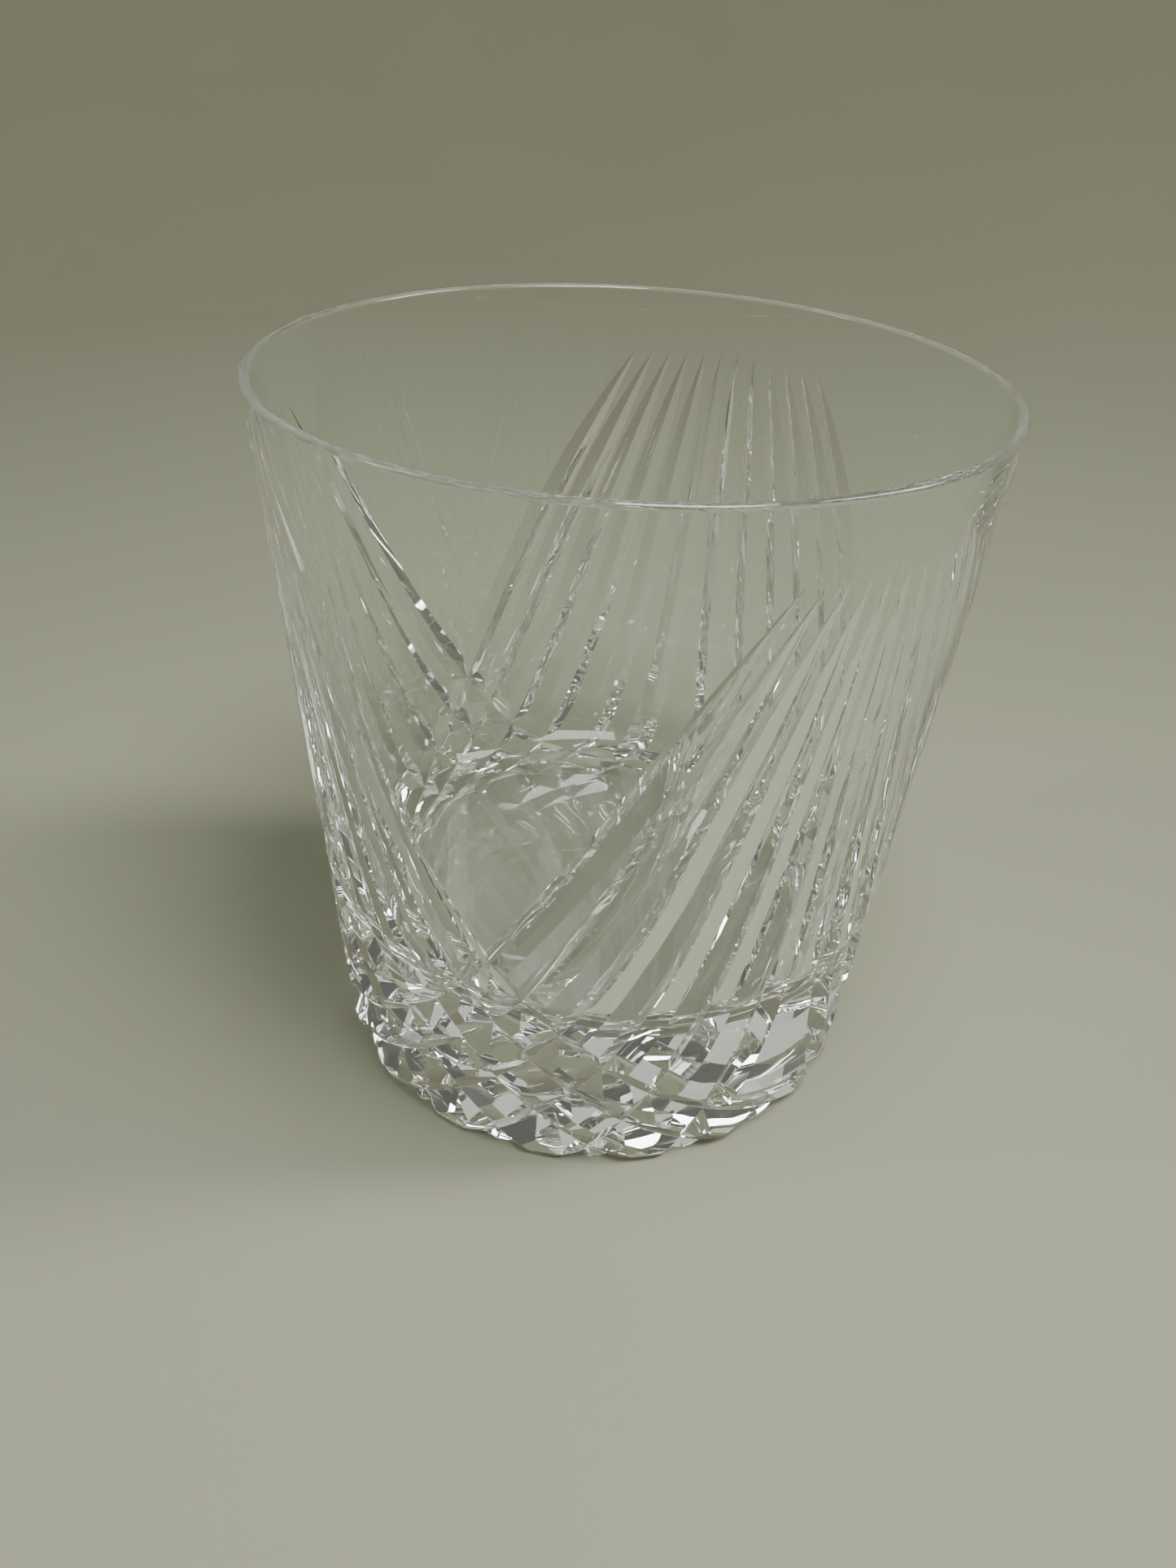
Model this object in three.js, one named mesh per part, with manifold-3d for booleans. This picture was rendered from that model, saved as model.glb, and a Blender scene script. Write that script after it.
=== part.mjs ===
// Whiskey tumbler: one piece of clear cut crystal, with three fans of mitre cuts around its wall.
// Millimetres, +Z up, origin at the centre of the foot. The glass stands on the plane z = 0.

import * as THREE from "three";
import Module from "manifold-3d";

// The blank, which is the glass before it is cut.
const RIM_DIAMETER = 90;
const FOOT_DIAMETER = 74.8;
const HEIGHT = 94.5;
const RIM_THICKNESS = 1.3;
const WALL_AT_FLOOR = 4.2;
const FLOOR_THICKNESS = 20;
const FLOOR_FILLET = 8;
const HEEL_RADIUS = 1.5;

// The fans. Each is a spread of cuts whose tips stand in a row below the rim. The cuts lean apart on the
// way down, and the outer ones run on under the next fan, where the crossings leave raised diamonds.
const FAN_COUNT = 3;
const FIRST_FAN_ANGLE = 41.3;
const CUTS_PER_FAN = 12;
const TIP_PITCH_ANGLE = 3.3;
const PLAIN_BAND = 8.5;
const CROSSING_HEIGHT = 1.5;
const LEAN_ANGLE = 11.3;
const SWEEP_POWER = 5.5;

// One mitre cut, a V with its sharp edge down in the glass.
const V_ANGLE = 118;
const WALL_CUT_DEPTH = 1.2;
const FOOT_CUT_DEPTH = 1.6;
const RUN_IN = 25;
const DEEPENING_FROM = 40;
const DEEPENING_TO = 16;
const WHEEL_CLEARANCE = 0.8;

// How finely the round shapes are divided.
const ROUND_SEGMENTS = 84;
const ARC_SEGMENTS = 4;
const FILLET_SEGMENTS = 6;
const CUT_STATIONS = 13;
const SMALLEST_FEATURE = 0.01;

// How far a cut starts before its tip and ends past the foot, as shares of its height.
const LEAD_IN = 0.02;
const RUN_OUT = 0.045;

const CRYSTAL = new THREE.MeshStandardMaterial({
  color: 0xeef2ef,
  roughness: 0.04,
  metalness: 0,
  transparent: true,
  opacity: 0.35,
});

// The rim is fire-polished to a full round, which both sides of the wall touch.
const RIM_RADIUS = RIM_THICKNESS / 2;
const RIM_CENTRE_R = RIM_DIAMETER / 2 - RIM_RADIUS;
const RIM_CENTRE_Z = HEIGHT - RIM_RADIUS;

const OUTER_TAPER = taperTo(FOOT_DIAMETER / 2, 0, 1);
const TIP_HEIGHT = HEIGHT - PLAIN_BAND;

// The lean, from upright, of a straight side that runs up from a point and touches the rim's round.
// It touches the round's outside where side is 1, and its inside where side is -1.
function taperTo(fromR, fromZ, side) {
  const run = RIM_CENTRE_R - fromR;
  const rise = RIM_CENTRE_Z - fromZ;
  return Math.atan2(run, rise) + side * Math.asin(RIM_RADIUS / Math.hypot(run, rise));
}

function outerRadius(z) {
  return FOOT_DIAMETER / 2 + z * Math.tan(OUTER_TAPER);
}

// Points of an arc about a centre, in the half-plane of radius and height. Angles are in radians.
function arc(centreR, centreZ, radius, from, to, segments) {
  const points = [];
  for (let k = 0; k <= segments; k += 1) {
    const angle = from + ((to - from) * k) / segments;
    points.push(new THREE.Vector2(
      centreR + radius * Math.cos(angle),
      centreZ + radius * Math.sin(angle),
    ));
  }
  return points;
}

// The outline of the blank, from the axis under the foot, up the outside, over the rim and down the inside.
function blankOutline() {
  // The heel's arc touches the foot's plane and the outer wall.
  const heelRun = HEEL_RADIUS * (1 - Math.sin(OUTER_TAPER)) / Math.cos(OUTER_TAPER);
  const heelR = outerRadius(0) - heelRun;

  // The fillet's arc touches the floor and the inner wall.
  const filletTop = FLOOR_THICKNESS + FLOOR_FILLET;
  const innerLow = outerRadius(filletTop) - WALL_AT_FLOOR;
  const innerTaper = taperTo(innerLow, filletTop, -1);
  const filletR = innerLow - FLOOR_FILLET / Math.cos(innerTaper);

  return [
    new THREE.Vector2(0, 0),
    ...arc(heelR, HEEL_RADIUS, HEEL_RADIUS, -Math.PI / 2, -OUTER_TAPER, ARC_SEGMENTS),
    ...arc(RIM_CENTRE_R, RIM_CENTRE_Z, RIM_RADIUS, -OUTER_TAPER, 0, 1),
    ...arc(RIM_CENTRE_R, RIM_CENTRE_Z, RIM_RADIUS, 0, Math.PI - innerTaper, 2 * ARC_SEGMENTS).slice(1),
    ...arc(filletR, filletTop, FLOOR_FILLET, -innerTaper, -Math.PI / 2, FILLET_SEGMENTS),
    new THREE.Vector2(0, FLOOR_THICKNESS),
  ];
}

// How far a cut has swung from its fan's middle, in degrees, at a share of its way down.
// rank is 0.5 for the cuts beside the middle, and rises by 1 for each cut further out.
// At the foot, the cuts of all fans are evenly spaced, so that they cross in a ring.
function swing(rank, share) {
  const footPitch = 360 / (FAN_COUNT * CUTS_PER_FAN / 2);
  const footSwing = footPitch * (rank + 0.5);
  const tipSwing = TIP_PITCH_ANGLE * rank;
  const straight = LEAN_ANGLE * rank;
  const swept = footSwing - tipSwing - straight;
  return tipSwing + straight * share + swept * Math.max(share, 0) ** SWEEP_POWER;
}

// A cut's middle line on the outer wall: the point, and the wall's outward normal there.
function station(fanAngle, side, rank, share) {
  const z = TIP_HEIGHT - share * (TIP_HEIGHT - CROSSING_HEIGHT);
  const angle = THREE.MathUtils.degToRad(fanAngle + side * swing(rank, share));
  const outward = new THREE.Vector3(Math.sin(angle), -Math.cos(angle), 0);
  const point = outward.clone().multiplyScalar(outerRadius(z)).setZ(z);
  const normal = outward.multiplyScalar(Math.cos(OUTER_TAPER)).setZ(-Math.sin(OUTER_TAPER));
  return { point, normal };
}

// The cut's depth rises from nothing at the tip, as the wheel runs in, and again where the glass is thick.
function depthAt(z) {
  const toGo = Math.max(1 - (TIP_HEIGHT - z) / RUN_IN, 0);
  const deepening = THREE.MathUtils.smoothstep(-z, -DEEPENING_FROM, -DEEPENING_TO);
  return WALL_CUT_DEPTH * (1 - toGo ** 2) + (FOOT_CUT_DEPTH - WALL_CUT_DEPTH) * deepening;
}

// The glass that one cut takes away: a V-shaped bar that follows the cut's line.
// Its stations crowd towards the foot, where the line bends most.
function cutter(fanAngle, side, rank) {
  const halfAngle = THREE.MathUtils.degToRad(V_ANGLE / 2);
  const positions = [];
  const indices = [];
  for (let k = 0; k <= CUT_STATIONS; k += 1) {
    const share = -LEAD_IN + (1 + LEAD_IN + RUN_OUT) * Math.sin((Math.PI / 2) * (k / CUT_STATIONS));
    const here = station(fanAngle, side, rank, share);
    const ahead = station(fanAngle, side, rank, share + 0.001);
    const depth = depthAt(here.point.z);
    const along = ahead.point.sub(here.point).normalize();
    const across = along.cross(here.normal).normalize();
    const halfWidth = (depth + WHEEL_CLEARANCE) * Math.tan(halfAngle);
    const edge = here.point.clone().addScaledVector(here.normal, -depth);
    const top = here.point.clone().addScaledVector(here.normal, WHEEL_CLEARANCE);
    const left = top.clone().addScaledVector(across, -halfWidth);
    const right = top.clone().addScaledVector(across, halfWidth);
    positions.push(...edge, ...left, ...right);
  }
  for (let k = 0; k < CUT_STATIONS; k += 1) {
    for (let corner = 0; corner < 3; corner += 1) {
      const a = 3 * k + corner;
      const b = 3 * k + ((corner + 1) % 3);
      indices.push(a, b, a + 3, b, b + 3, a + 3);
    }
  }
  const last = 3 * CUT_STATIONS;
  indices.push(0, 2, 1, last, last + 1, last + 2);
  const geometry = new THREE.BufferGeometry();
  geometry.setAttribute("position", new THREE.Float32BufferAttribute(positions, 3));
  geometry.setIndex(indices);
  return geometry;
}

const wasm = await Module();
wasm.setup();

// A closed geometry as a solid that can be cut. Points that meet are joined first.
function solidFrom(geometry) {
  const mesh = new wasm.Mesh({
    numProp: 3,
    vertProperties: new Float32Array(geometry.getAttribute("position").array),
    triVerts: new Uint32Array(geometry.index.array),
  });
  mesh.merge();
  return new wasm.Manifold(mesh);
}

function geometryFrom(solid) {
  const mesh = solid.getMesh();
  const geometry = new THREE.BufferGeometry();
  geometry.setAttribute("position", new THREE.BufferAttribute(mesh.vertProperties, 3));
  geometry.setIndex(new THREE.BufferAttribute(mesh.triVerts, 1));
  const faceted = geometry.toNonIndexed();
  faceted.computeVertexNormals();
  return faceted;
}

function cutterSolids() {
  const cutters = [];
  for (let fan = 0; fan < FAN_COUNT; fan += 1) {
    const fanAngle = FIRST_FAN_ANGLE + (360 * fan) / FAN_COUNT;
    for (let pair = 0; pair < CUTS_PER_FAN / 2; pair += 1) {
      for (const side of [-1, 1]) {
        cutters.push(solidFrom(cutter(fanAngle, side, pair + 0.5)));
      }
    }
  }
  return cutters;
}

function tumblerGeometry() {
  const lathe = new THREE.LatheGeometry(blankOutline(), ROUND_SEGMENTS);
  lathe.rotateX(Math.PI / 2);
  const blank = solidFrom(lathe);
  const cuts = wasm.Manifold.union(cutterSolids());
  return geometryFrom(blank.subtract(cuts).simplify(SMALLEST_FEATURE));
}

const tumbler = new THREE.Mesh(tumblerGeometry(), CRYSTAL);
tumbler.name = "tumbler";

const group = new THREE.Group();
group.add(tumbler);

export default group;
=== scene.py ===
"""A whiskey tumbler of clear cut crystal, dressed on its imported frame.

The glass is one piece. A blank with a thick foot is turned first, and a wheel then cuts three fans of
mitre cuts into it, which cross above the foot and leave a ring of raised diamonds. The outer size comes
from the frame, and every other size is a field of the class that owns it. All lengths are in metres.
"""

from __future__ import annotations

import logging
import math
from collections.abc import Mapping, Sequence
from dataclasses import dataclass
from enum import Enum
from functools import partial
from typing import Any

import bmesh
import bpy
from mathutils import Matrix, Vector

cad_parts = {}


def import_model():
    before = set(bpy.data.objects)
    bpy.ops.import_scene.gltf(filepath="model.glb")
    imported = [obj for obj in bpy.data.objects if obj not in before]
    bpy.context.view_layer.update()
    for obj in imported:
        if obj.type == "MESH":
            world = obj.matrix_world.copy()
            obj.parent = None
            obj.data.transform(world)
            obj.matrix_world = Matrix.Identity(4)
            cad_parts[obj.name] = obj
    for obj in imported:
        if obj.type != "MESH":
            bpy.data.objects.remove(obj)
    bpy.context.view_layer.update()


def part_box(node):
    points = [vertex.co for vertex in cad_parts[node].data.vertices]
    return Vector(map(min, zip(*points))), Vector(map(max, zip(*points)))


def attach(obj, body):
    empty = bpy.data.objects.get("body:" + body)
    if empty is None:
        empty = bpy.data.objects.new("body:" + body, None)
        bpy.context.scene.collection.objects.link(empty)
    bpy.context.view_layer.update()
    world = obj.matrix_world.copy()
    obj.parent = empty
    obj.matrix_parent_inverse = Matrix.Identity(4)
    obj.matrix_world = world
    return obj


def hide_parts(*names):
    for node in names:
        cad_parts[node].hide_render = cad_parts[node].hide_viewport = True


LOG = logging.getLogger("tumbler")

MM = 0.001

MATH = "ShaderNodeMath"
VECTOR_MATH = "ShaderNodeVectorMath"
NAMED = "GeometryNodeInputNamedAttribute"
STORE = "GeometryNodeStoreNamedAttribute"
Node = bpy.types.Node

# The rounds of a cut never shrink to nothing, so that the bars stay solid at their tips.
SMALLEST_EDGE_SHARE = 0.03


def linear(hex_colour: str) -> tuple[float, float, float, float]:
    """Turns an sRGB hex colour into linear light.

    Args:
        hex_colour: Six hex digits, with or without a leading hash.

    Returns:
        Red, green, blue and an alpha of 1.
    """
    digits = hex_colour.lstrip("#")
    channels = [int(digits[k : k + 2], 16) / 255 for k in (0, 2, 4)]
    light = [c / 12.92 if c <= 0.04045 else ((c + 0.055) / 1.055) ** 2.4 for c in channels]
    return light[0], light[1], light[2], 1.0


def add_node(
    tree: bpy.types.NodeTree,
    kind: str,
    inputs: Mapping[str, Any] | Sequence[Any] = (),
    **settings: Any,
) -> Node:
    """Adds a node with its settings, and fills its inputs.

    Args:
        tree: The tree that the node goes into.
        kind: The node's type name.
        inputs: Values by socket name, or in the order of the sockets in use. A node stands for its
            first output in use, a socket is linked, None is skipped, and anything else is set.
        **settings: The node's own properties, such as its operation.

    Returns:
        The new node.
    """
    node = tree.nodes.new(kind)
    for name, value in settings.items():
        setattr(node, name, value)
    used = [socket for socket in node.inputs if socket.enabled]
    if isinstance(inputs, Mapping):
        pairs = [(next(s for s in used if s.name == name), v) for name, v in inputs.items()]
    else:
        pairs = list(zip(used, inputs))
    for socket, value in pairs:
        if isinstance(value, Node):
            value = next(s for s in value.outputs if s.enabled)
        if isinstance(value, bpy.types.NodeSocket):
            tree.links.new(value, socket)
        elif value is not None:
            socket.default_value = value
    return node


def new_object(name: str, mesh: bpy.types.Mesh) -> bpy.types.Object:
    """Puts a mesh into the scene as an object at the origin.

    Args:
        name: The object's name.
        mesh: Its mesh.

    Returns:
        The new object.
    """
    made = bpy.data.objects.new(name, mesh)
    bpy.context.scene.collection.objects.link(made)
    return made


@dataclass(frozen=True)
class LeadCrystal:
    """Clear lead crystal, blown, then cut and acid polished.

    The eye gets no colour from it: only its high index, which makes the cuts flash from bright to
    black, and a faint waviness that hand polishing leaves on the wall.
    """

    name: str = "lead_crystal_polished"
    tint: str = "FDFEFD"
    ior: float = 1.54
    polish: float = 0.0
    haze: float = 0.015
    haze_starts: float = 0.45
    haze_full: float = 0.75
    wave_length: float = 9 * MM
    wave_height: float = 0.012 * MM
    wave_detail: float = 1.5
    wipe_length: float = 22 * MM
    wipe_detail: float = 4.0

    def material(self) -> bpy.types.Material:
        """Builds the crystal's material.

        Returns:
            A glass material that reads Object coordinates.
        """
        made = bpy.data.materials.new(self.name)
        made.use_nodes = True
        tree = made.node_tree
        tree.nodes.clear()
        add = partial(add_node, tree)
        place = add("ShaderNodeTexCoord").outputs["Object"]

        # The polishing leaves shallow waves, longer than a cut is wide.
        waves = add(
            "ShaderNodeTexNoise",
            {"Vector": place, "Scale": 1 / self.wave_length, "Detail": self.wave_detail},
        )
        bump = add(
            "ShaderNodeBump",
            {"Strength": 1.0, "Distance": self.wave_height, "Height": waves.outputs["Fac"]},
        )

        # A wiped glass keeps a trace of haze in broad patches.
        patches = add(
            "ShaderNodeTexNoise",
            {"Vector": place, "Scale": 1 / self.wipe_length, "Detail": self.wipe_detail},
        )
        haze = add(
            "ShaderNodeMapRange",
            {
                "Value": patches.outputs["Fac"],
                "From Min": self.haze_starts,
                "From Max": self.haze_full,
                "To Min": self.polish,
                "To Max": self.haze,
            },
        )
        crystal = add(
            "ShaderNodeBsdfPrincipled",
            {
                "Base Color": linear(self.tint),
                "Roughness": haze,
                "IOR": self.ior,
                "Transmission Weight": 1.0,
                "Normal": bump,
            },
        )
        add("ShaderNodeOutputMaterial", {"Surface": crystal.outputs["BSDF"]})
        return made


@dataclass(frozen=True)
class StudioBoard:
    """Matt painted board under the glass, with a very faint unevenness from the roller."""

    name: str = "matt_painted_board"
    colour: str = "A3A591"
    uneven: str = "9EA08B"
    patch: float = 90 * MM
    patch_detail: float = 3.0
    roughness: float = 0.9

    def material(self) -> bpy.types.Material:
        """Builds the board's material.

        Returns:
            A matt material that reads Object coordinates.
        """
        made = bpy.data.materials.new(self.name)
        made.use_nodes = True
        tree = made.node_tree
        tree.nodes.clear()
        add = partial(add_node, tree)
        place = add("ShaderNodeTexCoord").outputs["Object"]
        patches = add(
            "ShaderNodeTexNoise",
            {"Vector": place, "Scale": 1 / self.patch, "Detail": self.patch_detail},
        )
        colour = add(
            "ShaderNodeMix",
            {"Factor": patches.outputs["Fac"], "A": linear(self.uneven), "B": linear(self.colour)},
            data_type="RGBA",
        )
        board = add(
            "ShaderNodeBsdfPrincipled",
            {"Base Color": colour, "Roughness": self.roughness},
        )
        add("ShaderNodeOutputMaterial", {"Surface": board.outputs["BSDF"]})
        return made


class Side(Enum):
    """The side of the rim's round that a wall runs up to."""

    OUTSIDE = 1
    INSIDE = -1


@dataclass(frozen=True)
class OutlinePoint:
    """A point of a turned outline: its radius, its height and where its surface faces."""

    r: float
    z: float
    facing: float


@dataclass
class Blank:
    """The glass before it is cut: a tapered cup with a thick foot and a fire-polished rim.

    Args:
        rim_radius: The outer radius over the rim.
        height: The height over all.
    """

    rim_radius: float
    height: float
    foot_radius: float = 37.4 * MM
    rim_thickness: float = 1.3 * MM
    wall_at_floor: float = 4.2 * MM
    floor_thickness: float = 20 * MM
    floor_fillet: float = 8 * MM
    heel_radius: float = 1.5 * MM
    segments: int = 360
    heel_steps: int = 6
    rim_steps: int = 12
    fillet_steps: int = 14

    @property
    def rim_centre(self) -> tuple[float, float]:
        """The centre of the rim's round, as a radius and a height."""
        return self.rim_radius - self.rim_thickness / 2, self.height - self.rim_thickness / 2

    def taper_from(self, r: float, z: float, side: Side) -> float:
        """Finds how far a straight wall leans out on its way up to the rim's round.

        Args:
            r: The radius that the wall starts from.
            z: The height that the wall starts from.
            side: The side of the round that the wall touches.

        Returns:
            The lean from upright, in radians.
        """
        run = self.rim_centre[0] - r
        rise = self.rim_centre[1] - z
        turn = math.asin(self.rim_thickness / 2 / math.hypot(run, rise))
        return math.atan2(run, rise) + side.value * turn

    @property
    def outer_taper(self) -> float:
        """The lean of the outer wall, in radians."""
        return self.taper_from(self.foot_radius, 0, Side.OUTSIDE)

    def arc(
        self, r: float, z: float, radius: float, start: float, end: float, steps: int
    ) -> list[OutlinePoint]:
        """Divides the arc about (r, z) from one facing to another, hollow if its radius is negative."""
        angles = [start + (end - start) * k / steps for k in range(steps + 1)]
        return [OutlinePoint(r + radius * math.cos(a), z + radius * math.sin(a), a) for a in angles]

    def outline(self) -> list[OutlinePoint]:
        """Draws the outline from the edge of the foot, up and over the rim, to the edge of the floor.

        Returns:
            The points in that order.
        """
        taper = self.outer_taper
        heel_run = self.heel_radius * (1 - math.sin(taper)) / math.cos(taper)
        fillet_top = self.floor_thickness + self.floor_fillet
        inner_low = self.foot_radius + fillet_top * math.tan(taper) - self.wall_at_floor
        inner_taper = self.taper_from(inner_low, fillet_top, Side.INSIDE)
        fillet_r = inner_low - self.floor_fillet / math.cos(inner_taper)
        inward = math.pi - inner_taper
        return [
            *self.arc(
                self.foot_radius - heel_run,
                self.heel_radius,
                self.heel_radius,
                -math.pi / 2,
                -taper,
                self.heel_steps,
            ),
            *self.arc(*self.rim_centre, self.rim_thickness / 2, -taper, 0, 1),
            *self.arc(*self.rim_centre, self.rim_thickness / 2, 0, inward, self.rim_steps)[1:],
            *self.arc(
                fillet_r, fillet_top, -self.floor_fillet, inward, math.pi / 2, self.fillet_steps
            ),
        ]

    def mesh(self) -> bpy.types.Mesh:
        """Turns the outline about the upright axis.

        Returns:
            A closed mesh whose corners keep where the true surface faces, as the attribute "facing".
        """
        outline = self.outline()
        turns = [2 * math.pi * k / self.segments for k in range(self.segments)]
        shape = bmesh.new()
        rings = [
            [shape.verts.new((p.r * math.sin(t), -p.r * math.cos(t), p.z)) for t in turns]
            for p in outline
        ]
        facing = shape.loops.layers.float_vector.new("facing")
        for lower, upper, points in zip(rings, rings[1:], zip(outline, outline[1:])):
            for k in range(self.segments):
                after = (k + 1) % self.segments
                corners = (
                    (lower[k], k, points[0]),
                    (lower[after], k + 1, points[0]),
                    (upper[after], k + 1, points[1]),
                    (upper[k], k, points[1]),
                )
                face = shape.faces.new([corner[0] for corner in corners])
                for loop, (_, turn, point) in zip(face.loops, corners):
                    angle = 2 * math.pi * turn / self.segments
                    level = math.cos(point.facing)
                    up = math.sin(point.facing)
                    loop[facing] = (level * math.sin(angle), -level * math.cos(angle), up)
        for ring, up in ((rings[0][::-1], -1.0), (rings[-1], 1.0)):
            for loop in shape.faces.new(ring).loops:
                loop[facing] = (0.0, 0.0, up)
        mesh = bpy.data.meshes.new("blank")
        shape.to_mesh(mesh)
        shape.free()
        return mesh


@dataclass
class MitreWheel:
    """The cutting wheel, as the bar of glass that one straight pass of it would take away.

    The bar's section is a V. Acid polishing has softened the edge down in the glass and the two lips,
    so the section has a small hollow round at the bottom and a full one at each lip.
    """

    v_angle: float = math.radians(118)
    bottom_radius: float = 0.06 * MM
    lip_radius: float = 0.2 * MM
    lip_end_slope: float = math.radians(6)
    lip_end_height: float = 0.005 * MM
    clearance: float = 0.9 * MM
    flare: float = 0.35 * MM
    bottom_steps: int = 4
    lip_steps: int = 3
    stations: int = 72

    @property
    def flank_slope(self) -> float:
        """The slope of the V's flanks from level, in radians."""
        return (math.pi - self.v_angle) / 2

    def section(self) -> list[tuple[float, float, float, float, float, float]]:
        """Draws the section from the middle of its bottom round to the right, over the top and back.

        Returns:
            For each point: x and y from its hinge, its reach (0 at the bottom, 1 or -1 at a lip), its
            rise (1 at the top), and x and y of where the cut surface faces.
        """
        slope = self.flank_slope
        centre = self.bottom_radius / math.cos(slope)
        bottom = []
        for k in range(self.bottom_steps // 2 + 1):
            a = slope * k / (self.bottom_steps // 2)
            x = self.bottom_radius * math.sin(a)
            y = centre - self.bottom_radius * math.cos(a)
            bottom.append((x, y, 0.0, 0.0, -math.sin(a), math.cos(a)))

        lip_y = self.lip_end_height - self.lip_radius * math.cos(self.lip_end_slope)
        start_y = lip_y + self.lip_radius * math.cos(slope)
        lip_x = start_y / math.tan(slope) + self.lip_radius * math.sin(slope)
        lip = []
        for k in range(self.lip_steps + 1):
            a = slope + (self.lip_end_slope - slope) * k / self.lip_steps
            x = lip_x - self.lip_radius * math.sin(a)
            y = lip_y + self.lip_radius * math.cos(a)
            lip.append((x, y, 1.0, 0.0, -math.sin(a), math.cos(a)))
        top = (lip[-1][0] + self.flare, 0.0, 1.0, 1.0, 0.0, 1.0)

        right = [*bottom, *lip, top]
        left = [(-x, y, -reach, rise, -fx, fy) for x, y, reach, rise, fx, fy in right[:0:-1]]
        return right + left

    def mesh(self) -> bpy.types.Mesh:
        """Makes the bar.

        Returns:
            A closed mesh with the section in X and Y and the share of the length in Z. Its corners keep
            the reach, the rise and where the cut surface faces, as attributes.
        """
        section = self.section()
        shape = bmesh.new()
        reach = shape.verts.layers.float.new("reach")
        rise = shape.verts.layers.float.new("rise")
        facing = shape.verts.layers.float_vector.new("section_facing")
        rings = []
        for station in range(self.stations + 1):
            ring = []
            for x, y, point_reach, point_rise, facing_x, facing_y in section:
                vert = shape.verts.new((x, y, station / self.stations))
                vert[reach] = point_reach
                vert[rise] = point_rise
                vert[facing] = (facing_x, facing_y, 0.0)
                ring.append(vert)
            rings.append(ring)
        count = len(section)
        for near, far in zip(rings, rings[1:]):
            for k in range(count):
                after = (k + 1) % count
                shape.faces.new((near[k], near[after], far[after], far[k]))
        shape.faces.new(rings[0][::-1])
        shape.faces.new(rings[-1])
        mesh = bpy.data.meshes.new("wheel_bar")
        shape.to_mesh(mesh)
        shape.free()
        return mesh


@dataclass(frozen=True)
class Course:
    """A cut's course down the wall, as nodes of the tree.

    The directions are unit vectors: normal is out of the glass, along is with the cut on its way down,
    and across is square to both.
    """

    drop: Node
    fallen: Node
    height: Node
    point: Node
    normal: Node
    along: Node
    across: Node
    speed: Node


@dataclass(frozen=True)
class Depth:
    """A cut's depth, as nodes: in the glass, over it before the tip, and its slope along the cut."""

    in_glass: Node
    over_glass: Node
    slope: Node


@dataclass(frozen=True)
class Section:
    """The bar's section at one corner, as nodes."""

    reach: Node
    half_v: Node
    at_bottom: Node
    position: Node


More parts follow.
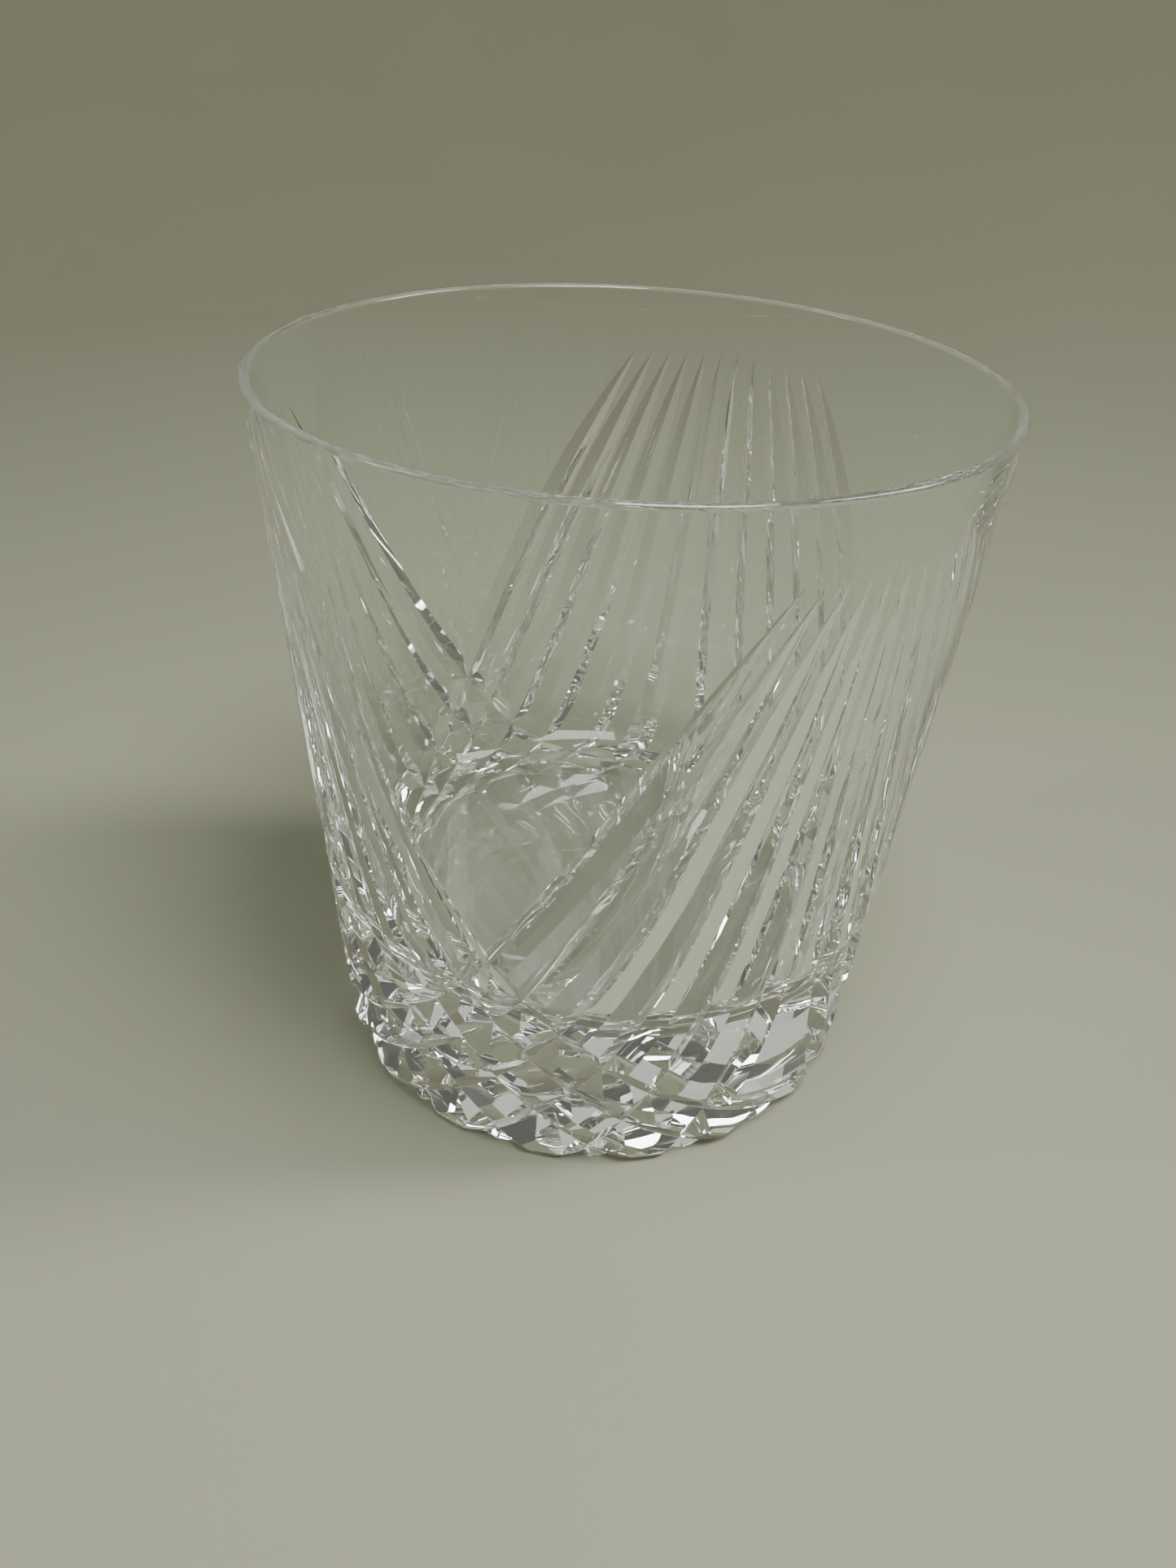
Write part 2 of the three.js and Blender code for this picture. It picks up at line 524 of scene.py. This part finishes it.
class CutTree:
    """The node tree that bends one bar along each cut and takes the bars from the blank."""

    def __init__(self, sizes: Mapping[str, tuple[str, Any]]) -> None:
        """Starts the tree with its named inputs.

        Args:
            sizes: The socket type and the value of each size, by its name.
        """
        self.group = bpy.data.node_groups.new("cut_fans", "GeometryNodeTree")
        face = self.group.interface
        face.new_socket("Geometry", in_out="OUTPUT", socket_type="NodeSocketGeometry")
        face.new_socket("Geometry", in_out="INPUT", socket_type="NodeSocketGeometry")
        face.new_socket("Bar", in_out="INPUT", socket_type="NodeSocketObject")
        face.new_socket("Material", in_out="INPUT", socket_type="NodeSocketMaterial")
        for name, (socket_type, _) in sizes.items():
            face.new_socket(name, in_out="INPUT", socket_type=socket_type)
        self.add = partial(add_node, self.group)
        self.size = self.add("NodeGroupInput").outputs

    def copy_bars(self) -> tuple[Node, Node, Node]:
        """Makes one bar for each cut.

        Returns:
            The number of cuts, the bars, and the number of the cut that a bar belongs to.
        """
        add, size = self.add, self.size
        bar = add("GeometryNodeObjectInfo", {"Object": size["Bar"]}).outputs["Geometry"]
        count = add(MATH, [size["Fans"], size["Cuts per Fan"]], operation="MULTIPLY")
        starts = add("GeometryNodeMeshLine", {"Count": count, "Offset": (0.0, 0.0, 0.0)})
        numbered = add(
            STORE,
            {"Geometry": starts, "Name": "cut", "Value": add("GeometryNodeInputIndex")},
            data_type="INT",
            domain="POINT",
        )
        copies = add("GeometryNodeInstanceOnPoints", {"Points": numbered, "Instance": bar})
        bars = add("GeometryNodeRealizeInstances", {"Geometry": copies})
        return count, bars, add(NAMED, {"Name": "cut"}, data_type="INT")

    def rank_cuts(self, cut: Node) -> tuple[Node, Node, Node]:
        """Finds a cut's place in its fan.

        Args:
            cut: The cut's number.

        Returns:
            Its fan, its side of the fan's middle (1 or -1), and its rank outwards from there.
        """
        add, size = self.add, self.size
        fan = add(MATH, [add(MATH, [cut, size["Cuts per Fan"]], operation="DIVIDE")], operation="FLOOR")
        place = add(MATH, [cut, size["Cuts per Fan"]], operation="FLOORED_MODULO")
        last = add(MATH, [size["Cuts per Fan"], 1.0], operation="SUBTRACT")
        middle = add(MATH, [last, 2.0], operation="DIVIDE")
        signed_rank = add(MATH, [place, middle], operation="SUBTRACT")
        side = add(MATH, [signed_rank], operation="SIGN")
        rank = add(MATH, [signed_rank], operation="ABSOLUTE")
        return fan, side, rank

    def spread_stations(self, place: Node) -> Node:
        """Turns a station's place on the bar into a share of the way down.

        The stations crowd towards the foot, where the cut is deepest and turns most.

        Args:
            place: The corner's place on the straight bar.

        Returns:
            The share, from just above the tip at 0 to just past the foot at 1.
        """
        add, size = self.add, self.size
        turn = add(MATH, [place.outputs["Z"], math.pi / 2], operation="MULTIPLY")
        quarter = add(MATH, [turn], operation="SINE")
        ends = add(MATH, [add(MATH, [1.0, size["Lead In"]]), size["Run Out"]])
        passed = add(MATH, [quarter, ends], operation="MULTIPLY")
        return add(MATH, [passed, size["Lead In"]], operation="SUBTRACT")

    def swing_out(self, count: Node, rank: Node, share: Node) -> tuple[Node, Node]:
        """Swings a cut away from the middle of its fan.

        Args:
            count: The number of cuts.
            rank: The cut's rank outwards.
            share: The share of the way down.

        Returns:
            The swing as an angle about the axis, and its rate with the share.
        """
        add, size = self.add, self.size
        # Half of all cuts lean one way, and they share the foot's full turn evenly.
        foot_pitch = add(MATH, [4 * math.pi, count], operation="DIVIDE")
        foot_swing = add(MATH, [foot_pitch, add(MATH, [rank, 0.5])], operation="MULTIPLY")
        tip_swing = add(MATH, [size["Tip Pitch"], rank], operation="MULTIPLY")
        straight = add(MATH, [size["Lean"], rank], operation="MULTIPLY")
        left_over = add(MATH, [foot_swing, tip_swing], operation="SUBTRACT")
        swept = add(MATH, [left_over, straight], operation="SUBTRACT")
        power = size["Sweep Power"]
        below = add(MATH, [share, 0.0], operation="MAXIMUM")
        bent = add(MATH, [below, power], operation="POWER")
        less_power = add(MATH, [power, 1.0], operation="SUBTRACT")
        less_bent = add(MATH, [below, less_power], operation="POWER")
        bend_rate = add(MATH, [power, less_bent], operation="MULTIPLY")
        leaning = add(MATH, [straight, share, tip_swing], operation="MULTIPLY_ADD")
        swing = add(MATH, [swept, bent, leaning], operation="MULTIPLY_ADD")
        swing_rate = add(MATH, [swept, bend_rate, straight], operation="MULTIPLY_ADD")
        return swing, swing_rate

    def follow_wall(self, fan: Node, side: Node, share: Node, swing: Node, swing_rate: Node) -> Course:
        """Lays a cut's course on the tapered wall.

        Args:
            fan: The cut's fan.
            side: The cut's side of the fan's middle.
            share: The share of the way down.
            swing: The swing away from the fan's middle.
            swing_rate: The swing's rate with the share.

        Returns:
            The course.
        """
        add, size = self.add, self.size
        fan_pitch = add(MATH, [2 * math.pi, size["Fans"]], operation="DIVIDE")
        fan_angle = add(MATH, [fan, fan_pitch, size["First Fan Angle"]], operation="MULTIPLY_ADD")
        angle = add(MATH, [side, swing, fan_angle], operation="MULTIPLY_ADD")
        sine = add(MATH, [angle], operation="SINE")
        cosine = add(MATH, [angle], operation="COSINE")
        minus_cosine = add(MATH, [cosine, -1.0], operation="MULTIPLY")
        outward = add("ShaderNodeCombineXYZ", [sine, minus_cosine])
        sideways = add("ShaderNodeCombineXYZ", [cosine, sine])

        drop = add(MATH, [size["Tip Height"], size["Crossing Height"]], operation="SUBTRACT")
        fallen = add(MATH, [share, drop], operation="MULTIPLY")
        height = add(MATH, [size["Tip Height"], fallen], operation="SUBTRACT")
        taper_rate = add(MATH, [size["Taper"]], operation="TANGENT")
        radius = add(MATH, [height, taper_rate, size["Foot Radius"]], operation="MULTIPLY_ADD")
        upright = add("ShaderNodeCombineXYZ", {"Z": height})
        point = add(VECTOR_MATH, [outward, radius, upright], operation="MULTIPLY_ADD")
        level = add(MATH, [size["Taper"]], operation="COSINE")
        down = add(MATH, [add(MATH, [size["Taper"]], operation="SINE"), -1.0], operation="MULTIPLY")
        tipped = add("ShaderNodeCombineXYZ", {"Z": down})
        normal = add(VECTOR_MATH, [outward, level, tipped], operation="MULTIPLY_ADD")

        # The rates of the turn, the draw inwards and the fall make up the way the cut travels.
        minus_drop = add(MATH, [drop, -1.0], operation="MULTIPLY")
        turned = add(MATH, [radius, side], operation="MULTIPLY")
        turn_rate = add(MATH, [turned, swing_rate], operation="MULTIPLY")
        fall = add("ShaderNodeCombineXYZ", {"Z": minus_drop})
        draw_in = add(MATH, [minus_drop, taper_rate], operation="MULTIPLY")
        inward_fall = add(VECTOR_MATH, [outward, draw_in, fall], operation="MULTIPLY_ADD")
        travel = add(VECTOR_MATH, [sideways, turn_rate, inward_fall], operation="MULTIPLY_ADD")
        along = add(VECTOR_MATH, [travel], operation="NORMALIZE")
        return Course(
            drop=drop,
            fallen=fallen,
            height=height,
            point=point,
            normal=normal,
            along=along,
            across=add(VECTOR_MATH, [normal, along], operation="CROSS_PRODUCT"),
            speed=add(VECTOR_MATH, [travel], operation="LENGTH"),
        )

    def sink_wheel(self, course: Course) -> Depth:
        """Sets how deep the wheel goes: it runs in from the tip, and sinks more in the thick foot.

        Args:
            course: The cut's course.

        Returns:
            The depth.
        """
        add, size = self.add, self.size
        ran = add(MATH, [course.fallen, size["Run In"]], operation="DIVIDE")
        to_go = add(MATH, [add(MATH, [1.0, ran], operation="SUBTRACT"), 0.0], operation="MAXIMUM")
        run = add(MATH, [1.0, add(MATH, [to_go, 2.0], operation="POWER")], operation="SUBTRACT")
        wall_depth = add(MATH, [size["Wall Cut Depth"], run], operation="MULTIPLY")
        deepening = add(
            "ShaderNodeMapRange",
            {
                "Value": course.height,
                "From Min": size["Deepening From"],
                "From Max": size["Deepening To"],
            },
            interpolation_type="SMOOTHSTEP",
        )
        extra = add(MATH, [size["Foot Cut Depth"], size["Wall Cut Depth"]], operation="SUBTRACT")
        depth = add(MATH, [extra, deepening, wall_depth], operation="MULTIPLY_ADD")
        in_glass = add(MATH, [depth, 0.0], operation="MAXIMUM")

        # Only the run-in is steep enough to tip the cut's facing.
        twice = add(MATH, [to_go, 2.0], operation="MULTIPLY")
        run_slope = add(MATH, [twice, size["Run In"]], operation="DIVIDE")
        sinking = add(MATH, [run_slope, size["Wall Cut Depth"]], operation="MULTIPLY")
        depth_rate = add(MATH, [sinking, course.drop], operation="MULTIPLY")
        return Depth(
            in_glass=in_glass,
            over_glass=add(MATH, [in_glass, depth], operation="SUBTRACT"),
            slope=add(MATH, [depth_rate, course.speed], operation="DIVIDE"),
        )

    def place_section(self, place: Node, course: Course, depth: Depth) -> Section:
        """Moves a corner of the bar to its place on the wall.

        The section's hinges move with the depth, and its rounds shrink towards the tip.

        Args:
            place: The corner's place on the straight bar.
            course: The cut's course.
            depth: The cut's depth.

        Returns:
            The section, with the corner's new position.
        """
        add, size = self.add, self.size
        reach = add(NAMED, {"Name": "reach"}, data_type="FLOAT")
        rise = add(NAMED, {"Name": "rise"}, data_type="FLOAT")
        half_v = add(MATH, [add(MATH, [size["V Angle"], 2.0], operation="DIVIDE")], operation="TANGENT")
        lip = add(MATH, [depth.in_glass, half_v], operation="MULTIPLY")
        share_of_edge = add(MATH, [depth.in_glass, size["Full Edge Depth"]], operation="DIVIDE")
        edge = add("ShaderNodeClamp", [share_of_edge, SMALLEST_EDGE_SHARE, 1.0])
        soft = add(MATH, [edge, rise], operation="MAXIMUM")
        offset_x = add(MATH, [place.outputs["X"], soft], operation="MULTIPLY")
        offset_y = add(MATH, [place.outputs["Y"], soft], operation="MULTIPLY")
        corner_x = add(MATH, [reach, lip, offset_x], operation="MULTIPLY_ADD")
        at_bottom = add(MATH, [1.0, add(MATH, [reach], operation="ABSOLUTE")], operation="SUBTRACT")
        sunk = add(MATH, [at_bottom, depth.in_glass], operation="MULTIPLY")
        raised = add(MATH, [rise, size["Clearance"], depth.over_glass], operation="MULTIPLY_ADD")
        corner_y = add(MATH, [add(MATH, [offset_y, sunk], operation="SUBTRACT"), raised])
        moved = add(VECTOR_MATH, [course.across, corner_x, course.point], operation="MULTIPLY_ADD")
        return Section(
            reach=reach,
            half_v=half_v,
            at_bottom=at_bottom,
            position=add(VECTOR_MATH, [course.normal, corner_y, moved], operation="MULTIPLY_ADD"),
        )

    def face_cut(self, course: Course, depth: Depth, section: Section) -> Node:
        """Finds where the cut surface faces, leaning a little along the cut where the depth changes.

        Args:
            course: The cut's course.
            depth: The cut's depth.
            section: The bar's section.

        Returns:
            The direction out of the glass.
        """
        add = self.add
        flat = add(NAMED, {"Name": "section_facing"}, data_type="FLOAT_VECTOR").outputs["Attribute"]
        parts = add("ShaderNodeSeparateXYZ", [flat])
        facing_x = parts.outputs["X"]
        facing_y = parts.outputs["Y"]
        reached = add(MATH, [facing_x, section.reach], operation="MULTIPLY")
        spread = add(MATH, [reached, section.half_v], operation="MULTIPLY")
        sinking = add(MATH, [facing_y, section.at_bottom], operation="MULTIPLY")
        lean_share = add(MATH, [sinking, spread], operation="SUBTRACT")
        lean_along = add(MATH, [depth.slope, lean_share], operation="MULTIPLY")
        leaned = add(VECTOR_MATH, [course.along, lean_along], operation="SCALE")
        faced_across = add(VECTOR_MATH, [course.across, facing_x, leaned], operation="MULTIPLY_ADD")
        return add(VECTOR_MATH, [course.normal, facing_y, faced_across], operation="MULTIPLY_ADD")

    def take_away(self, bars: Node, cut: Node, section: Section, facing: Node) -> None:
        """Bends the bars and takes each away by itself, because they cross one another.

        Args:
            bars: The straight bars.
            cut: The number of the cut that a bar belongs to.
            section: The bar's section.
            facing: Where the cut surface faces.
        """
        add, size = self.add, self.size
        faced = add(
            STORE,
            {"Geometry": bars, "Name": "facing", "Value": facing},
            data_type="FLOAT_VECTOR",
            domain="CORNER",
        )
        placed = add("GeometryNodeSetPosition", {"Geometry": faced, "Position": section.position})
        split = add("GeometryNodeSplitToInstances", {"Geometry": placed, "Group ID": cut}, domain="FACE")
        glass = add(
            "GeometryNodeMeshBoolean",
            {"Mesh 1": size["Geometry"], "Mesh 2": split.outputs["Instances"]},
            operation="DIFFERENCE",
            solver="MANIFOLD",
        ).outputs["Mesh"]
        true_facing = add(NAMED, {"Name": "facing"}, data_type="FLOAT_VECTOR")
        polished = add(
            "GeometryNodeSetMeshNormal",
            {"Mesh": glass, "Custom Normal": true_facing},
            mode="FREE",
            domain="CORNER",
        )
        whole = add("GeometryNodeRealizeInstances", {"Geometry": polished})
        dressed = add("GeometryNodeSetMaterial", {"Geometry": whole, "Material": size["Material"]})
        add("NodeGroupOutput", {"Geometry": dressed})

    def build(self) -> bpy.types.GeometryNodeTree:
        """Adds every stage.

        Returns:
            The tree, whose Bar and Material inputs are set on the modifier with its sizes.
        """
        count, bars, cut = self.copy_bars()
        fan, side, rank = self.rank_cuts(cut)
        place = self.add("ShaderNodeSeparateXYZ", [self.add("GeometryNodeInputPosition")])
        share = self.spread_stations(place)
        swing, swing_rate = self.swing_out(count, rank, share)
        course = self.follow_wall(fan, side, share, swing, swing_rate)
        depth = self.sink_wheel(course)
        section = self.place_section(place, course, depth)
        self.take_away(bars, cut, section, self.face_cut(course, depth, section))
        return self.group


@dataclass
class CutFans:
    """Three fans of mitre cuts, whose tips stand in a row below the rim.

    The cuts of a fan lean apart on the way down. The outer ones run on under the next fan, and at the
    foot all cuts that lean one way are evenly spaced, so that they cross the others in rings.
    """

    tip_height: float
    foot_radius: float
    taper: float
    v_angle: float
    clearance: float
    fans: int = 3
    cuts_per_fan: int = 12
    first_fan_angle: float = math.radians(41.3)
    tip_pitch: float = math.radians(3.3)
    lean: float = math.radians(11.3)
    sweep_power: float = 5.5
    crossing_height: float = 1.5 * MM
    wall_cut_depth: float = 1.2 * MM
    foot_cut_depth: float = 1.6 * MM
    run_in: float = 25 * MM
    deepening_from: float = 40 * MM
    deepening_to: float = 16 * MM
    full_edge_depth: float = 0.5 * MM
    lead_in: float = 0.02
    run_out: float = 0.045

    def inputs(self) -> dict[str, tuple[str, Any]]:
        """Lists the tree's named sizes.

        Returns:
            The socket type and the value of each, by its name.
        """
        return {
            "Fans": ("NodeSocketInt", self.fans),
            "Cuts per Fan": ("NodeSocketInt", self.cuts_per_fan),
            "First Fan Angle": ("NodeSocketFloat", self.first_fan_angle),
            "Tip Pitch": ("NodeSocketFloat", self.tip_pitch),
            "Lean": ("NodeSocketFloat", self.lean),
            "Sweep Power": ("NodeSocketFloat", self.sweep_power),
            "Tip Height": ("NodeSocketFloat", self.tip_height),
            "Crossing Height": ("NodeSocketFloat", self.crossing_height),
            "Foot Radius": ("NodeSocketFloat", self.foot_radius),
            "Taper": ("NodeSocketFloat", self.taper),
            "V Angle": ("NodeSocketFloat", self.v_angle),
            "Wall Cut Depth": ("NodeSocketFloat", self.wall_cut_depth),
            "Foot Cut Depth": ("NodeSocketFloat", self.foot_cut_depth),
            "Run In": ("NodeSocketFloat", self.run_in),
            "Deepening From": ("NodeSocketFloat", self.deepening_from),
            "Deepening To": ("NodeSocketFloat", self.deepening_to),
            "Full Edge Depth": ("NodeSocketFloat", self.full_edge_depth),
            "Clearance": ("NodeSocketFloat", self.clearance),
            "Lead In": ("NodeSocketFloat", self.lead_in),
            "Run Out": ("NodeSocketFloat", self.run_out),
        }

    def cut(
        self, blank: bpy.types.Object, bar: bpy.types.Object, finish: bpy.types.Material
    ) -> bpy.types.Mesh:
        """Cuts the fans into a blank.

        Args:
            blank: The blank, which is left as it was.
            bar: The bar that one pass of the wheel takes away.
            finish: The material of the cut glass.

        Returns:
            The cut glass as a plain mesh.
        """
        tree = CutTree(self.inputs()).build()
        items = tree.interface.items_tree
        sockets = {item.name: item.identifier for item in items if item.in_out == "INPUT"}
        cutting = blank.modifiers.new("cut_fans", "NODES")
        cutting.node_group = tree
        cutting[sockets["Bar"]] = bar
        cutting[sockets["Material"]] = finish
        for name, (_, value) in self.inputs().items():
            cutting[sockets[name]] = value
        depsgraph = bpy.context.evaluated_depsgraph_get()
        mesh = bpy.data.meshes.new_from_object(blank.evaluated_get(depsgraph), depsgraph=depsgraph)
        blank.modifiers.remove(cutting)
        return mesh


@dataclass
class Tumbler:
    """The whole glass: a blank, the wheel that cuts it, and the fans it is cut with."""

    lowest: Vector
    highest: Vector
    plain_band: float = 8.5 * MM
    finish: LeadCrystal = LeadCrystal()
    node: str = "tumbler"
    body: str = "root"
    slot: str = "crystal"

    def build(self) -> None:
        """Makes the glass and ties it to the frame."""
        size = self.highest - self.lowest
        blank = Blank(rim_radius=size.x / 2, height=size.z)
        wheel = MitreWheel()
        fans = CutFans(
            tip_height=blank.height - self.plain_band,
            foot_radius=blank.foot_radius,
            taper=blank.outer_taper,
            v_angle=wheel.v_angle,
            clearance=wheel.clearance,
        )
        blank_piece = new_object("blank", blank.mesh())
        bar_piece = new_object("wheel_bar", wheel.mesh())
        mesh = fans.cut(blank_piece, bar_piece, self.finish.material())
        for helper in (blank_piece, bar_piece):
            bpy.data.objects.remove(helper)

        mesh.name = "tumbler_glass"
        glass = new_object("tumbler_glass", mesh)
        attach(glass, self.body)
        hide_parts(self.node)
        LOG.info("%s: %d faces, %d corners", glass.name, len(mesh.polygons), len(mesh.loops))


@dataclass(frozen=True)
class SoftBox:
    """A studio light behind a diffuser."""

    name: str
    stands: tuple[float, float, float]
    aims: tuple[float, float, float]
    width: float
    length: float
    power: float
    colour: str = "FFFFFF"

    def build(self) -> None:
        """Puts the light in place, aimed at its mark."""
        lamp = bpy.data.lights.new(self.name, "AREA")
        lamp.shape = "RECTANGLE"
        lamp.size = self.width
        lamp.size_y = self.length
        lamp.energy = self.power
        lamp.color = linear(self.colour)[:3]
        made = bpy.data.objects.new(self.name, lamp)
        bpy.context.scene.collection.objects.link(made)
        made.location = self.stands
        away = Vector(self.stands) - Vector(self.aims)
        made.rotation_euler = away.to_track_quat("Z", "Y").to_euler()
        LOG.info("%s: %g W", self.name, self.power)


@dataclass
class Studio:
    """A pale board that sweeps up all round like a light tent, soft boxes and the camera."""

    camera_stands: tuple[float, float, float] = (0.0, -149.25 * MM, 133.3 * MM)
    camera_aims: tuple[float, float, float] = (-2.65 * MM, 0.0, 35.7 * MM)
    camera_roll: float = math.radians(3.24)
    upright_view: float = math.radians(64.25)
    nearest_seen: float = 1 * MM
    air_under_foot: float = 0.1 * MM
    flat_radius: float = 0.45
    sweep_radius: float = 0.5
    tent_segments: int = 96
    sweep_steps: int = 12
    board: StudioBoard = StudioBoard()
    room_light: str = "FFFFFA"
    room_strength: float = 0.1
    glass_bounces: int = 32

    def lights(self) -> list[SoftBox]:
        """Lists the lights.

        Returns:
            The soft boxes, each with its stand, its mark, its two sides and its power in watts.
        """
        return [
            SoftBox("back_box", (-0.45, 1.5, 1.25), (0.0, 0.0, 0.03), 1.6, 1.6, 4.5, "FFFFF4"),
            SoftBox("right_strip", (1.1, 0.1, 0.95), (0.0, 0.0, 0.05), 0.25, 1.0, 13.5, "FFFFF4"),
            SoftBox("left_strip", (-1.15, -0.25, 0.8), (0.0, 0.0, 0.05), 0.15, 0.9, 3.0, "FFFFF4"),
            SoftBox("top_box", (0.06, -0.1, 0.36), (0.0, -0.1, 0.0), 0.14, 0.14, 1.15),
        ]

    def set_light_paths(self) -> None:
        """Lets light bounce on for long enough to leave the cut glass again."""
        paths = bpy.context.scene.cycles
        paths.max_bounces = self.glass_bounces
        paths.glossy_bounces = self.glass_bounces
        paths.transmission_bounces = self.glass_bounces

    def build_floor(self) -> None:
        """Lays the board under the foot and sweeps it up to the tent's wall."""
        profile = [(self.flat_radius, -self.air_under_foot)]
        for k in range(1, self.sweep_steps + 1):
            a = math.pi / 2 * k / self.sweep_steps
            rise = self.sweep_radius * (1 - math.cos(a))
            run = self.sweep_radius * math.sin(a)
            profile.append((self.flat_radius + run, rise - self.air_under_foot))
        turns = [2 * math.pi * k / self.tent_segments for k in range(self.tent_segments)]
        shape = bmesh.new()
        rings = [
            [shape.verts.new((r * math.cos(t), r * math.sin(t), z)) for t in turns]
            for r, z in profile
        ]
        shape.faces.new(rings[0])
        for lower, upper in zip(rings, rings[1:]):
            for k in range(self.tent_segments):
                after = (k + 1) % self.tent_segments
                shape.faces.new((lower[k], upper[k], upper[after], lower[after])).smooth = True
        mesh = bpy.data.meshes.new("studio_board")
        shape.to_mesh(mesh)
        shape.free()
        mesh.materials.append(self.board.material())
        new_object("studio_board", mesh)
        LOG.info("studio_board: laid")

    def build_camera(self) -> None:
        """Sets up the camera at the viewing angle."""
        lens = bpy.data.cameras.new("studio_camera")
        lens.sensor_fit = "VERTICAL"
        lens.angle = self.upright_view
        lens.clip_start = self.nearest_seen
        camera = bpy.data.objects.new("studio_camera", lens)
        bpy.context.scene.collection.objects.link(camera)
        stands = Vector(self.camera_stands)
        away = stands - Vector(self.camera_aims)
        turn = away.to_track_quat("Z", "Y").to_matrix().to_4x4()
        roll = Matrix.Rotation(self.camera_roll, 4, "Z")
        camera.matrix_world = Matrix.Translation(stands) @ turn @ roll
        bpy.context.scene.camera = camera
        LOG.info("studio_camera: %.1f degrees upright", math.degrees(self.upright_view))

    def build_room(self) -> None:
        """Lights the open top of the tent evenly."""
        world = bpy.data.worlds.new("studio_room")
        world.use_nodes = True
        world.node_tree.nodes.clear()
        add = partial(add_node, world.node_tree)
        light = add(
            "ShaderNodeBackground",
            {"Color": linear(self.room_light), "Strength": self.room_strength},
        )
        add("ShaderNodeOutputWorld", {"Surface": light})
        bpy.context.scene.world = world

    def build(self) -> None:
        """Builds the whole studio."""
        self.build_floor()
        self.build_room()
        self.set_light_paths()
        self.build_camera()
        for light in self.lights():
            light.build()


def corners(box: tuple[Vector, Vector]) -> list[list[float]]:
    """Turns a box's two corners into plain lists."""
    return [list(corner) for corner in box]


def main() -> None:
    """Builds the glass on its frame, and the studio around it."""
    logging.basicConfig(level=logging.INFO, format="%(name)s: %(message)s")
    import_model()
    Tumbler(*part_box("tumbler")).build()
    Studio().build()


if __name__ == "__main__":
    main()
